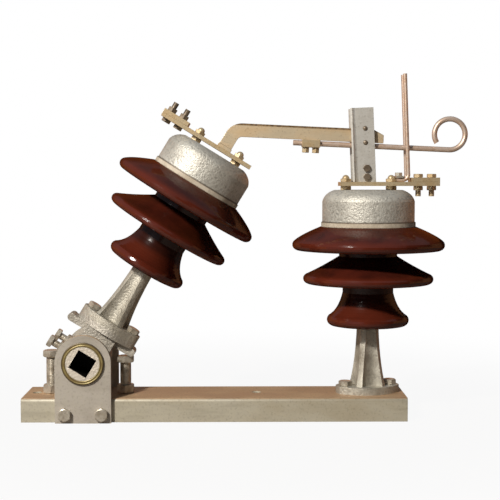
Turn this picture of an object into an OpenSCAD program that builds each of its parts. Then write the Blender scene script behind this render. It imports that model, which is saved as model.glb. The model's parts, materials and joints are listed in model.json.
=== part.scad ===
// Tilting-insulator disconnect switch, one pole, drawn in its closed position.
// Two cap-and-pin porcelain pedestals stand on a steel channel. The left one rides on a
// bracket that turns in two bearing plates, and carries a bent blade into the jaw that
// stands on the right one. A rod with a ring and a pair of upright horns draw the arc.
// The channel's length lies along X, the bearing axis along Y, and the feet are at Z zero.

/* [Base channel] */
// Length of the channel
channel_length = 568; // [540:1:620]
// Width over the two flanges
channel_width = 104; // [96:1:112]
// Height over web and flanges
channel_height = 35; // [34:1:45]
// Thickness of the web on top
web_thickness = 5; // [4:0.5:7]
// Thickness of each flange
flange_thickness = 6; // [4:0.5:8]
// Outer radius between web and flange
channel_corner = 5; // [3:0.5:8]
// Diameter of the two fixing holes in the web
fixing_hole_d = 14; // [10:0.5:18]
// Left fixing hole to the left end
fixing_end_inset = 16; // [14:1:19]
// Right fixing hole to the middle of the channel
fixing_mid_offset = 62; // [30:1:90]
// Fixed insulator's axis to the right end
fixed_axis_inset = 54; // [50:1:70]
// Bearing axis to the fixed insulator's axis
pole_pitch = 422; // [415:1:430]

/* [Bearing] */
// Bearing axis above the web
pivot_rise = 53; // [50:1:58]
// Width of a bearing plate and twice its top radius
plate_width = 82; // [76:1:88]
// Thickness of a bearing plate
plate_thickness = 8; // [6:0.5:10]
// Diameter of the bracket's journals
journal_d = 50; // [48:1:52]
// Radial running clearance of a journal in its bush
journal_clearance = 0.05; // [0.02:0.01:0.08]
// Outer diameter of a bush in its plate
bush_sleeve_d = 56; // [54:1:60]
// Diameter of a bush's outer collar
bush_collar_d = 62; // [60:1:68]
// Thickness of a bush's outer collar
bush_collar = 3; // [2:0.5:5]
// Spacing of the two bolts in a bearing plate
plate_bolt_spacing = 54; // [48:1:58]
// Height of those bolts above the feet
plate_bolt_height = 13; // [12:0.5:17]
// Thread of those bolts
plate_bolt_d = 12; // [10:1:12]
// Width across flats of those bolts
plate_bolt_flats = 18; // [17:1:19]
// Head height of those bolts
plate_bolt_head = 7.5; // [6:0.5:9]
// Nut height of those bolts
plate_bolt_nut = 10; // [8:0.5:12]

/* [Tilting bracket] */
// Lean of the moving insulator when closed, in degrees
closed_tilt = 31.5; // [31:0.5:32]
// Lean to the other side when open, in degrees
open_tilt = 24; // [20:1:25]
// Diameter of the boss between the plates
boss_d = 66; // [64:1:70]
// End play between boss and each plate
boss_play = 1; // [0.5:0.5:2]
// Side of the square socket for the drive shaft
socket_side = 30; // [26:1:32]
// Thickness of the wall between the two square sockets
socket_wall = 12; // [8:1:20]
// Seat of the insulator above the bearing axis
table_rise = 57; // [56:0.5:59]
// Insulator's axis past the bearing axis, towards the jaw
table_offset = 3; // [2:0.5:4]
// Thickness of the bracket's table
table_thickness = 9.5; // [8:0.5:11]
// Width of the neck between boss and table
neck_width = 48; // [40:1:56]
// Depth of the neck between boss and table
neck_depth = 46; // [40:1:50]
// Ear's nose to the middle of the bracket
nose_reach = 51.5; // [51:0.5:53]
// Ear's nose above the bearing axis
nose_rise = 42.5; // [41:0.5:43]
// Radius of an ear's nose
nose_radius = 6; // [5:0.5:7]
// Where an ear meets the table, from the middle
ear_root = 38; // [34:1:42]
// Depth of the ears
ear_depth = 30; // [26:1:34]
// Thread of the two shaft set screws
set_screw_d = 10; // [8:1:12]
// Width across flats of the set screws and their nuts
set_screw_flats = 17; // [14:1:18]
// Head height of a set screw
set_screw_head = 7; // [5:0.5:8]
// Lock nut height of a set screw
set_screw_nut = 8; // [6:0.5:9]
// Outer end of a set screw to the bearing axis
set_screw_reach = 61.5; // [60:0.5:66]
// Set screws to the middle plane
set_screw_offset = 35; // [34:0.5:36]
// Diameter of the pads that the set screws enter
set_pad_d = 22; // [20:1:23]
// Flat end of those pads to the bearing axis
set_pad_reach = 36; // [35:0.5:38]
// Metal left between a set screw and the socket
set_screw_land = 1; // [0.5:0.5:2]

/* [Stop bolts] */
// Closed stop bolt to the bearing axis
closed_stop_offset = 57; // [56:0.5:60]
// Open stop bolt to the bearing axis
open_stop_offset = 54; // [53:0.5:56]
// Thread of the stop bolts
stop_bolt_d = 16; // [14:1:16]
// Width across flats of the stop bolts
stop_flats = 24; // [22:1:24]
// Head height of the stop bolts
stop_head = 10; // [8:0.5:11]
// Height of the lock nut on the web
stop_nut = 13; // [10:0.5:14]
// Thread that stands out under the web
stop_tail = 8; // [4:1:12]
// Gap between an ear's nose and the stop it rests on
stop_gap = 0.3; // [0.2:0.05:0.5]

/* [Insulator pedestal] */
// Length of the oval foot
foot_length = 96; // [95:0.5:98]
// Depth of the oval foot
foot_depth = 65; // [64:0.5:70]
// Radius of the foot's two long sides
foot_side = 59.5; // [58:0.5:64]
// Spacing of the two foot bolts
foot_bolt_spacing = 70; // [68:0.5:71]
// Turn of the fixed foot about the insulator's axis, in degrees
fixed_turn = 13; // [-25:1:25]
// Turn of the tilting foot about the insulator's axis, in degrees
moving_turn = -12; // [-25:1:25]
// Thickness of the foot
foot_thickness = 11; // [9:0.5:13]
// Thread of the foot bolts
foot_bolt_d = 12; // [10:1:12]
// Width across flats of the foot bolts
foot_bolt_flats = 18; // [17:1:18]
// Head height of the foot bolts
foot_bolt_head = 7.5; // [6:0.5:9]
// Nut height of the foot bolts
foot_bolt_nut = 10; // [8:0.5:12]
// Depth of the foot bolts in the tilting bracket
foot_bolt_depth = 18; // [14:1:20]
// Radius of the column at the foot
column_foot_radius = 28; // [27:0.5:31]
// Bell's rim above the height at which the column has drawn in to the pin
column_room = 10; // [6:0.5:14]
// Thickness of the four ribs, which stand between the foot bolts
rib_thickness = 8; // [6:0.5:12]
// Radius of the four flutes between the ribs
flute_radius = 18; // [16:0.5:20]
// Diameter of the pin in the porcelain
pin_d = 33; // [31:0.5:35]
// Depth of the pin in the porcelain above the bell's hollow
pin_depth = 27; // [20:1:32]
// How far the column's curve is drawn in, across and up
column_draw_shares = [0.15, 0.44]; // [0.05:0.01:0.6]

/* [Porcelain] */
// Radius of the lower bell
bell_radius = 61.5; // [59:0.5:64]
// Height of the bell's rim above the foot
bell_height = 110; // [108:0.5:112]
// Radius of the bell's rim
bell_lip = 8.5; // [7:0.5:9]
// Roof of the bell's hollow above its rim
bell_hollow = 18; // [16:1:22]
// Radius of the neck above the bell
lower_neck = 38; // [36:0.5:40]
// Radius of the middle shed
middle_radius = 97.5; // [94:0.5:100]
// Middle shed's rim above the bell's rim
middle_rise = 62; // [56:0.5:66]
// Radius of the middle shed's rim
middle_lip = 7; // [6:0.5:8]
// Radius of the neck above the middle shed
upper_neck = 43.5; // [42:0.5:46]
// Radius of the top shed
top_radius = 114; // [110:0.5:118]
// Top shed's rim above the middle shed's rim
top_rise = 51; // [46:0.5:56]
// Radius of the top shed's rim
top_lip = 8; // [7:0.5:9]
// Radius of the seat for the cement ring
seat_radius = 72; // [71:0.5:74]
// That seat above the top shed's rim
seat_rise = 27; // [24:0.5:30]
// Radius of the head inside the cap
head_radius = 60; // [58:0.5:62]
// Top of the head above that seat
head_rise = 42; // [38:0.5:44]
// How far the curve above the bell is drawn in, across and up
bell_draw_shares = [0.29, 0.25]; // [0.1:0.01:0.9]
// How far the curve above the middle shed is drawn in, across and up
middle_draw_shares = [0.52, 0.4]; // [0.1:0.01:0.9]
// How far the curve above the top shed is drawn in, across and up
top_draw_shares = [0.75, 0.41]; // [0.1:0.01:0.9]
// Depth of the hollow under a shed as a share of its rim diameter
drip_share = 0.6; // [0.2:0.05:0.8]

/* [Cap] */
// Radius of the cement ring
cement_radius = 70.5; // [70:0.25:71]
// Height of the cement ring
cement_height = 7; // [5:0.5:9]
// Radius of the cap
cap_radius = 69; // [67:0.5:70]
// Height of the cap's straight side
cap_skirt = 31; // [28:0.5:34]
// Top of the cap above its straight side
cap_dome = 17; // [15:0.5:19]
// Radius of the flat on top of the cap
cap_flat_radius = 51; // [49:0.5:53]
// How full the cap's shoulder is, across and up
shoulder_draw_shares = [0.82, 0.72]; // [0.5:0.01:0.95]
// Spacing of the two studs in the cap
cap_bolt_spacing = 68; // [66:0.5:70]
// Thread of the cap studs
cap_bolt_d = 10; // [8:1:10]
// Width across flats of the cap studs' nuts
cap_bolt_flats = 15; // [13:0.5:15]
// Height of the hexagon of the domed nut on top of the bar
cap_bolt_head = 5; // [4:0.5:5]
// Diameter of that nut's dome
cap_bolt_dome = 11; // [9:0.5:11]
// Depth of the studs in the cap
cap_bolt_depth = 9; // [6:0.5:10]

/* [Terminal bars] */
// Gap between cap and bar, filled by the spacer nuts
bar_gap = 6; // [4:0.5:8]
// Thickness of a bar
bar_thickness = 6; // [5:0.5:8]
// Width of a bar
bar_width = 40; // [36:1:50]
// Fixed bar's inner end to the insulator's axis
fixed_bar_inner = 44; // [44:1:48]
// Fixed bar's outer end to the insulator's axis
fixed_bar_outer = 104; // [104:1:112]
// Moving bar's inner end to the insulator's axis
moving_bar_inner = 57; // [50:1:62]
// Moving bar's outer end to the insulator's axis
moving_bar_outer = 96; // [94:1:100]
// Thickness of the clamp plate on a bar
clamp_thickness = 6.5; // [6:0.5:8]
// Length of the clamp plate
clamp_length = 42; // [38:1:42]
// Spacing of the clamp's two bolts
clamp_bolt_spacing = 20; // [20:0.5:22]
// Outer clamp bolt to the end of the bar
clamp_bolt_inset = 9.5; // [9:0.5:11]
// Thread of the clamp bolts
clamp_bolt_d = 8; // [6:1:8]
// Width across flats of the clamp bolts
clamp_bolt_flats = 13; // [10:1:13]
// Head height of the clamp bolts
clamp_bolt_head = 5.5; // [4:0.5:6]
// Nut height of the clamp bolts
clamp_bolt_nut = 6.5; // [5:0.5:7]
// Thread that stands out past the nuts
clamp_bolt_tail = 9; // [5:0.5:12]

/* [Blade] */
// Height of the blade's bar
blade_height = 20; // [18:0.5:22]
// Thickness of the blade's bar
blade_thickness = 8; // [6:0.5:9]
// Middle of the blade's leg to the insulator's axis
leg_offset = 8.5; // [7:0.5:10]
// Bend of the blade above the bar
leg_rise = 33.6; // [32:0.2:36]
// Middle radius of that bend
blade_bend = 18; // [14:0.5:20]
// Tip of the closed blade past the middle of the jaw
tip_reach = 30; // [26:0.5:34]
// Fall of the closed blade towards its tip, in degrees
blade_fall = 2.6; // [2:0.1:3]
// Slope cut off the tip, along the blade and down it
tip_slope = [16, 8]; // [4:0.5:18]
// Length of the leg's foot on the bar
leg_foot_length = 22; // [20:0.5:22]
// Width of the leg's foot on the bar
leg_foot_width = 26; // [20:0.5:30]
// Thickness of the leg's foot
leg_foot_thickness = 5; // [4:0.5:6]

/* [Arcing rod] */
// Diameter of the arcing rod
rod_d = 8; // [6:0.5:8]
// Middle of the rod under the blade's middle
rod_drop = 15; // [14.5:0.25:16]
// Inner end of the rod from the blade's bend
rod_start = 87; // [80:1:92]
// Middle of the ring past the blade's tip
ring_reach = 99; // [94:1:106]
// Middle radius of the ring
ring_radius = 23; // [20:0.5:25]
// Turn of the ring, in degrees
ring_turn = 305; // [270:5:320]
// Inner end of the rod's clamp from the blade's bend
rod_clamp_start = 100; // [96:1:104]
// Length of the rod's clamp
rod_clamp_length = 27; // [24:0.5:30]
// Depth of the rod's clamp under the blade
rod_clamp_drop = 11; // [10:0.5:12]
// Width of the rod's clamp
rod_clamp_width = 18; // [14:0.5:20]
// Spacing of the two screws under the rod's clamp
rod_screw_spacing = 15; // [13:0.5:16]
// Width across flats of those screws
rod_screw_flats = 10; // [8:0.5:10]
// Height of those screws' heads
rod_screw_head = 8; // [4:0.5:10]

/* [Jaw] */
// Jaw's middle to the insulator's axis
jaw_offset = 8; // [6:0.5:9]
// Width of a jaw plate
jaw_width = 36; // [34:0.5:40]
// Thickness of a jaw plate
jaw_thickness = 3; // [2:0.5:4]
// Height of the jaw above the bar
jaw_height = 110; // [104:1:116]
// Gap between the two jaw plates
jaw_gap = 19; // [18:0.5:22]
// Lean of the jaw, in degrees
jaw_lean = 2.5; // [0:0.5:3]
// Inner radius of the curl on the entry edge
curl_radius = 7; // [5:0.5:9]
// Turn of that curl, in degrees
curl_turn = 60; // [40:5:80]
// Gap between blade and each contact strip
contact_gap = 0.5; // [0.3:0.1:0.8]
// Width of a contact strip
strip_width = 24; // [20:0.5:26]
// Bottom of the contact strips above the bar
strip_rise = 50; // [48:0.5:52]
// Height of a contact strip
strip_height = 38; // [34:0.5:40]
// Width of the block between the jaw plates
block_width = 26; // [22:0.5:28]
// Height of the block between the jaw plates
block_height = 30; // [28:0.5:34]
// Thread of the jaw bolts
jaw_bolt_d = 6; // [5:0.5:6]
// Width across flats of the jaw bolts
jaw_bolt_flats = 10; // [8:0.5:11]
// Head height of the jaw bolts
jaw_bolt_head = 4; // [3:0.5:5]
// Lower jaw bolt above the bar
jaw_bolt_rise = 7.5; // [7:0.5:9]
// Spacing of the two jaw bolts
jaw_bolt_spacing = 13; // [12.5:0.5:14]
// Jaw bolts to the middle of the jaw
jaw_bolt_offset = 4; // [0:0.5:6]

/* [Fixed horns] */
// Diameter of a horn
horn_d = 6; // [5:0.5:7]
// Each horn to the middle plane
horn_offset = 11; // [10:0.5:12]
// Horn's upright to the insulator's axis
horn_place = 58; // [58:0.25:59]
// Radius of the horn's bend
horn_bend = 8; // [7:0.5:9]
// Length of the horn's foot
horn_foot = 9; // [6:0.5:10]
// Top of the horns above the bar
horn_height = 160; // [150:1:170]
// Lean of the horns, in degrees
horn_lean = 2.3; // [0:0.1:3]
// Upright's diameter less than the bend's, in which it starts
horn_step = 0.2; // [0.1:0.1:0.4]
// Length of the plate that holds the horns
horn_plate_length = 10; // [8:0.5:10]
// Width of that plate
horn_plate_width = 32; // [30:0.5:38]
// Thickness of that plate
horn_plate_thickness = 3; // [2:0.5:4]
// Thread of the horn bolt
horn_bolt_d = 6; // [5:0.5:6]
// Width across flats of the horn bolt
horn_bolt_flats = 10; // [8:0.5:10]
// Head height of the horn bolt
horn_bolt_head = 5; // [4:0.5:6]

/* [Hidden] */
$fn = 72;
// Overrun of every cut
overrun = 1;
// Steps of a drawn curve
curve_steps = 8;
// Steps of a rounded rim
rim_steps = 10;
// Corner radius of a hexagon as a share of its width across flats
corner_share = 1 / sqrt(3);
// Diameter of a hexagon's round face as a share of its width across flats
face_share = 0.94;
// Slope of a hexagon's chamfer, in degrees
hexagon_chamfer = 30;

// Heights above the insulator's foot
column_height = bell_height - column_room;
bell_roof = bell_height + bell_hollow;
pin_top = bell_roof + pin_depth;
middle_height = bell_height + middle_rise;
top_height = middle_height + top_rise;
seat_height = top_height + seat_rise;
head_top = seat_height + head_rise;
cap_bottom = seat_height + cement_height;
cap_shoulder = cap_bottom + cap_skirt;
cap_top = cap_shoulder + cap_dome;
bar_bottom = cap_top + bar_gap;
bar_top = bar_bottom + bar_thickness;
clamp_top = bar_top + clamp_thickness;

// The blade's bend from the bearing axis, across and along the leaning insulator
bend_across = table_offset + leg_offset;
bend_along = table_rise + bar_top + leg_rise;
blade_angle = closed_tilt - blade_fall;
blade_turn = 90 - blade_angle;
bend_tangent = blade_bend * tan(blade_turn / 2);
bend_x = bend_across * cos(closed_tilt) + bend_along * sin(closed_tilt);
blade_length = (pole_pitch - jaw_offset + tip_reach - bend_x) / cos(blade_fall);
ring_place = blade_length + ring_reach;

// Middle of the ring from the bearing axis, across and along the leaning insulator
ring_lift = ring_radius - rod_drop;
ring_across = bend_across + ring_place * cos(blade_angle) - ring_lift * sin(blade_angle);
ring_along = bend_along + ring_place * sin(blade_angle) + ring_lift * cos(blade_angle);
// Outer edge of the ring from the bearing axis
ring_edge = ring_across * cos(closed_tilt) + ring_along * sin(closed_tilt)
    + ring_radius + rod_d / 2;

// The middle of the whole length is at X zero: the channel's middle lies left of it
ring_overhang = ring_edge - pole_pitch - fixed_axis_inset;
channel_x = -ring_overhang / 2;
fixed_x = channel_x + channel_length / 2 - fixed_axis_inset;
pivot_x = fixed_x - pole_pitch;
pivot_z = channel_height + pivot_rise;
left_hole_x = channel_x + fixing_end_inset - channel_length / 2;
right_hole_x = channel_x + fixing_mid_offset;
plate_face = channel_width / 2 + plate_thickness;
journal_span = 2 * (plate_face + bush_collar);
boss_length = channel_width - 2 * boss_play;
nose_under = nose_rise - nose_radius;
table_under = table_rise - table_thickness;
// Angle from the nose's middle at which the ear's top edge leaves it
ear_top_angle = 60;

// Stop heights: the nose's low point at each end of the swing
closed_stop = pivot_z + nose_rise * cos(closed_tilt) - nose_reach * sin(closed_tilt)
    - nose_radius - stop_gap;
open_stop = pivot_z + nose_rise * cos(open_tilt) - nose_reach * sin(open_tilt)
    - nose_radius - stop_gap;

// Middle of a flute to the column's axis
flute_offset = sqrt(2) * (rib_thickness / 2 + flute_radius);
plate_inner = jaw_gap / 2;
strip_inner = blade_thickness / 2 + contact_gap;
rod_under = -blade_height / 2;
horn_seat = bar_top + horn_d;
horn_bolt_place = horn_place - horn_bend - horn_plate_length / 2;

galvanised = [0.72, 0.71, 0.68];
cast_grey = [0.62, 0.62, 0.6];
zinc_grey = [0.66, 0.64, 0.58];
glaze_brown = [0.36, 0.12, 0.08];
cement_beige = [0.78, 0.72, 0.6];
brass_yellow = [0.8, 0.62, 0.24];
bush_olive = [0.6, 0.5, 0.26];
rod_pink = [0.78, 0.5, 0.38];

// Points of a curve from a to c, drawn towards b
function drawn(a, b, c) = [
    for (i = [0 : curve_steps])
        let (t = i / curve_steps)
        (1 - t) * (1 - t) * a + 2 * t * (1 - t) * b + t * t * c
];

// Control point between a and c by shares of the way across and up
function pulled(a, c, shares) = [
    c[0] + shares[0] * (a[0] - c[0]),
    a[1] + shares[1] * (c[1] - a[1])
];

// Points of a rim round [x, z] with radius r from angle a to b
function rim(x, z, r, a, b) = [
    for (i = [0 : rim_steps])
        let (t = a + (b - a) * i / rim_steps)
        [x + r * cos(t), z + r * sin(t)]
];

// Last point of a list
function last(points) = points[len(points) - 1];

// Places
module at_pivot() {
    translate([pivot_x, 0, pivot_z])
        children();
}

module tilted() {
    at_pivot()
        rotate([0, closed_tilt, 0])
            children();
}

module on_fixed() {
    translate([fixed_x, 0, channel_height])
        children();
}

module on_moving() {
    tilted()
        translate([table_offset, 0, table_rise])
            children();
}

module on_blade() {
    on_moving()
        translate([leg_offset, 0, bar_top + leg_rise])
            rotate([0, -blade_angle, 0])
                children();
}

module on_jaw() {
    on_fixed()
        translate([-jaw_offset, 0, bar_top])
            children();
}

// Both of a pair, at plus and minus half the spacing along X
module pair(spacing) {
    for (side = [-1, 1])
        translate([side * spacing / 2, 0, 0])
            children();
}

// Hexagon of a nut or bolt head, flats facing X, with both ends chamfered to a round face
module hexagon(flats, height) {
    face = face_share * flats / 2;
    outside = flats * corner_share + overrun / 2;
    chamfer = (outside - face) * tan(hexagon_chamfer);
    intersection() {
        rotate([0, 0, 90])
            cylinder(r = flats * corner_share, h = height, $fn = 6);
        rotate_extrude()
            polygon([
                [0, 0],
                [face, 0],
                [outside, chamfer],
                [outside, height - chamfer],
                [face, height],
                [0, height]
            ]);
    }
}

// Domed nut: a hexagon under half a ball
module dome_nut(flats, height, dome) {
    hexagon(flats, height);
    translate([0, 0, height])
        intersection() {
            sphere(d = dome);
            shaft(2 * dome, -height / 2, dome);
        }
}

// Shaft along Z from one height to another
module shaft(d, from, to) {
    translate([0, 0, from])
        cylinder(d = d, h = to - from);
}

// Outline of the foot and the table: an oval of two long arcs and two end arcs
module foot_outline() {
    middle_y = foot_side - foot_depth / 2;
    intersection() {
        circle(d = foot_length);
        translate([0, middle_y])
            circle(r = foot_side);
        translate([0, -middle_y])
            circle(r = foot_side);
    }
}

// Section of the channel, across Y and up Z
module channel_outline() {
    half = channel_width / 2;
    difference() {
        union() {
            translate([-half, 0])
                square([channel_width, channel_height - channel_corner]);
            translate([channel_corner - half, 0])
                square([channel_width - 2 * channel_corner, channel_height]);
            for (side = [-1, 1])
                translate([side * (half - channel_corner), channel_height - channel_corner])
                    circle(r = channel_corner);
        }
        translate([flange_thickness - half, -overrun])
            square([channel_width - 2 * flange_thickness,
                channel_height - web_thickness + overrun]);
    }
}

// Holes through the web along Z
module web_hole(x, d) {
    translate([x, 0, 0])
        shaft(d, channel_height - web_thickness - overrun, channel_height + overrun);
}

module base_channel() {
    color(galvanised)
        difference() {
            translate([channel_x, 0, 0])
                rotate([90, 0, 90])
                    linear_extrude(channel_length, center = true)
                        channel_outline();
            web_hole(left_hole_x, fixing_hole_d);
            web_hole(right_hole_x, fixing_hole_d);
            web_hole(pivot_x + closed_stop_offset, stop_bolt_d);
            web_hole(pivot_x - open_stop_offset, stop_bolt_d);
            translate([fixed_x, 0, 0])
                rotate([0, 0, fixed_turn])
                    pair(foot_bolt_spacing)
                        web_hole(0, foot_bolt_d);
            translate([pivot_x, 0, plate_bolt_height])
                pair(plate_bolt_spacing)
                    rotate([90, 0, 0])
                        cylinder(d = plate_bolt_d, h = channel_width + 2 * overrun, center = true);
        }
}

module bearing_plate() {
    translate([pivot_x, -channel_width / 2, 0])
        rotate([90, 0, 0])
            linear_extrude(plate_thickness)
                difference() {
                    union() {
                        translate([-plate_width / 2, 0])
                            square([plate_width, pivot_z]);
                        translate([0, pivot_z])
                            circle(d = plate_width);
                    }
                    translate([0, pivot_z])
                        circle(d = bush_sleeve_d);
                    translate([0, plate_bolt_height])
                        pair(plate_bolt_spacing)
                            circle(d = plate_bolt_d);
                }
}

module front_bearing_plate() {
    color(galvanised)
        bearing_plate();
}

module back_bearing_plate() {
    color(galvanised)
        mirror([0, 1, 0])
            bearing_plate();
}

module bearing_bush() {
    at_pivot()
        rotate([90, 0, 0])
            difference() {
                union() {
                    shaft(bush_sleeve_d, channel_width / 2, plate_face);
                    shaft(bush_collar_d, plate_face, plate_face + bush_collar);
                }
                shaft(journal_d + 2 * journal_clearance, channel_width / 2 - overrun,
                    plate_face + bush_collar + overrun);
            }
}

module front_bearing_bush() {
    color(bush_olive)
        bearing_bush();
}

module back_bearing_bush() {
    color(bush_olive)
        mirror([0, 1, 0])
            bearing_bush();
}

module bearing_plate_bolts() {
    inner_face = channel_width / 2 - flange_thickness;
    color(zinc_grey)
        for (face = [0, 1])
            mirror([0, face, 0])
                translate([pivot_x, 0, plate_bolt_height])
                    pair(plate_bolt_spacing)
                        rotate([90, 0, 0]) {
                            shaft(plate_bolt_d, inner_face - plate_bolt_nut, plate_face);
                            translate([0, 0, plate_face])
                                hexagon(plate_bolt_flats, plate_bolt_head);
                            translate([0, 0, inner_face - plate_bolt_nut])
                                hexagon(plate_bolt_flats, plate_bolt_nut);
                        }
}

// Stop bolt whose head ends at the given height, with its lock nut on the web
module stop_bolt(offset, top) {
    color(zinc_grey)
        translate([pivot_x + offset, 0, 0]) {
            shaft(stop_bolt_d, channel_height - web_thickness - stop_tail, top - stop_head);
            translate([0, 0, top - stop_head])
                hexagon(stop_flats, stop_head);
            translate([0, 0, channel_height])
                hexagon(stop_flats, stop_nut);
        }
}

module closed_stop_bolt() {
    stop_bolt(closed_stop_offset, closed_stop);
}

module open_stop_bolt() {
    stop_bolt(-open_stop_offset, open_stop);
}

// Cast pedestal: oval foot, fluted column and the pin that the porcelain is cemented on
module pedestal() {
    top = pin_d / 2;
    start = [column_foot_radius, foot_thickness];
    end = [top, column_height];
    difference() {
        union() {
            linear_extrude(foot_thickness)
                foot_outline();
            intersection() {
                rotate_extrude()
                    polygon(concat(
                        [[0, foot_thickness / 2], [column_foot_radius, foot_thickness / 2]],
                        drawn(start, pulled(start, end, column_draw_shares), end),
                        [[0, column_height]]
                    ));
                linear_extrude(column_height)
                    difference() {
                        circle(d = foot_depth);
                        for (turn = [0 : 90 : 270])
                            rotate(turn)
                                translate([flute_offset, 0])
                                    circle(r = flute_radius);
                    }
            }
            shaft(pin_d, column_height - overrun, pin_top);
        }
        pair(foot_bolt_spacing)
            shaft(foot_bolt_d, -overrun, foot_thickness + overrun);
    }
}

// Porcelain with a bell and two sheds
module porcelain() {
    pin_r = pin_d / 2;
    bell = rim(bell_radius - bell_lip, bell_height, bell_lip, 180, 405);
    bell_end = [lower_neck, (bell_height + 2 * middle_height) / 3];
    middle = rim(middle_radius - middle_lip, middle_height, middle_lip, 200, 420);
    middle_end = [upper_neck, (middle_height + 2 * top_height) / 3];
    top = rim(top_radius - top_lip, top_height, top_lip, 200, 415);
    top_end = [seat_radius, seat_height];
    middle_root = [lower_neck, middle_height - middle_lip];
    top_root = [upper_neck, top_height - top_lip];
    rotate_extrude()
        polygon(concat(
            [[0, pin_top], [pin_r, pin_top], [pin_r, bell_roof]],
            bell,
            drawn(last(bell), pulled(last(bell), bell_end, bell_draw_shares), bell_end),
            drawn(middle_root, hollow(middle_root, middle[0], middle_lip), middle[0]),
            middle,
            drawn(last(middle), pulled(last(middle), middle_end, middle_draw_shares), middle_end),
            drawn(top_root, hollow(top_root, top[0], top_lip), top[0]),
            top,
            drawn(last(top), pulled(last(top), top_end, top_draw_shares), top_end),
            [[head_radius, seat_height], [head_radius, head_top], [0, head_top]]
        ));
}

// Control point of the hollow under a shed, above the middle between its root and rim
function hollow(root, edge, lip) = [
    (root[0] + edge[0]) / 2,
    (root[1] + edge[1]) / 2 + 2 * lip * drip_share
];

module cement_ring() {
    difference() {
        shaft(2 * cement_radius, seat_height, cap_bottom);
        shaft(2 * head_radius, seat_height - overrun, cap_bottom + overrun);
    }
}

module cap() {
    start = [cap_radius, cap_shoulder];
    end = [cap_flat_radius, cap_top];
    difference() {
        rotate_extrude()
            polygon(concat(
                [[0, head_top], [head_radius, head_top], [head_radius, cap_bottom],
                    [cap_radius, cap_bottom]],
                drawn(start, pulled(start, end, shoulder_draw_shares), end),
                [[0, cap_top]]
            ));
        pair(cap_bolt_spacing)
            shaft(cap_bolt_d, cap_top - cap_bolt_depth, cap_top + overrun);
    }
}

// Flat terminal bar with holes for the studs and the clamp
module terminal_bar(inner, outer) {
    difference() {
        translate([-inner, -bar_width / 2, bar_bottom])
            cube([inner + outer, bar_width, bar_thickness]);
        pair(cap_bolt_spacing)
            shaft(cap_bolt_d, bar_bottom - overrun, bar_top + overrun);
        clamp_bolt_holes(outer);
    }
}

module clamp_bolt_holes(outer) {
    translate([clamp_middle(outer), 0, 0])
        pair(clamp_bolt_spacing)
            shaft(clamp_bolt_d, bar_bottom - overrun, clamp_top + overrun);
}

function clamp_middle(outer) = outer - clamp_bolt_inset - clamp_bolt_spacing / 2;

module terminal_studs() {
    pair(cap_bolt_spacing) {
        shaft(cap_bolt_d, cap_top - cap_bolt_depth, bar_top + cap_bolt_head);
        translate([0, 0, cap_top])
            hexagon(cap_bolt_flats, bar_gap);
        translate([0, 0, bar_top])
            dome_nut(cap_bolt_flats, cap_bolt_head, cap_bolt_dome);
    }
}

module terminal_clamp(outer) {
    difference() {
        translate([outer - clamp_length, -bar_width / 2, bar_top])
            cube([clamp_length, bar_width, clamp_thickness]);
        clamp_bolt_holes(outer);
    }
}

// Clamp bolts with the heads above and the nuts below
module bolts_from_above(outer) {
    translate([clamp_middle(outer), 0, 0])
        pair(clamp_bolt_spacing) {
            shaft(clamp_bolt_d, bar_bottom - clamp_bolt_nut - clamp_bolt_tail, clamp_top);
            translate([0, 0, clamp_top])
                hexagon(clamp_bolt_flats, clamp_bolt_head);
            translate([0, 0, bar_bottom - clamp_bolt_nut])
                hexagon(clamp_bolt_flats, clamp_bolt_nut);
        }
}

// Clamp bolts with the heads below and the nuts above
module bolts_from_below(outer) {
    translate([clamp_middle(outer), 0, 0])
        pair(clamp_bolt_spacing) {
            shaft(clamp_bolt_d, bar_bottom, clamp_top + clamp_bolt_nut + clamp_bolt_tail);
            translate([0, 0, bar_bottom - clamp_bolt_head])
                hexagon(clamp_bolt_flats, clamp_bolt_head);
            translate([0, 0, clamp_top])
                hexagon(clamp_bolt_flats, clamp_bolt_nut);
        }
}

module fixed_pedestal() {
    color(cast_grey)
        on_fixed()
            rotate([0, 0, fixed_turn])
                pedestal();
}

module fixed_pedestal_bolts() {
    color(zinc_grey)
        on_fixed()
            rotate([0, 0, fixed_turn])
                pair(foot_bolt_spacing) {
                    shaft(foot_bolt_d, -web_thickness - foot_bolt_nut, foot_thickness);
                    translate([0, 0, foot_thickness])
                        hexagon(foot_bolt_flats, foot_bolt_head);
                    translate([0, 0, -web_thickness - foot_bolt_nut])
                        hexagon(foot_bolt_flats, foot_bolt_nut);
                }
}

module fixed_insulator() {
    color(glaze_brown)
        on_fixed()
            porcelain();
}

module fixed_cement_ring() {
    color(cement_beige)
        on_fixed()
            cement_ring();
}

module fixed_cap() {
    color(cast_grey)
        on_fixed()
            cap();
}

module fixed_terminal_bar() {
    color(brass_yellow)
        on_fixed()
            difference() {
                terminal_bar(fixed_bar_inner, fixed_bar_outer);
                translate([horn_bolt_place, 0, 0])
                    shaft(horn_bolt_d, bar_bottom - overrun, bar_top + overrun);
            }
}

module fixed_terminal_studs() {
    color(brass_yellow)
        on_fixed()
            terminal_studs();
}

module fixed_terminal_clamp() {
    color(brass_yellow)
        on_fixed()
            terminal_clamp(fixed_bar_outer);
}

module fixed_clamp_bolts() {
    color(brass_yellow)
        on_fixed()
            bolts_from_above(fixed_bar_outer);
}

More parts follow.
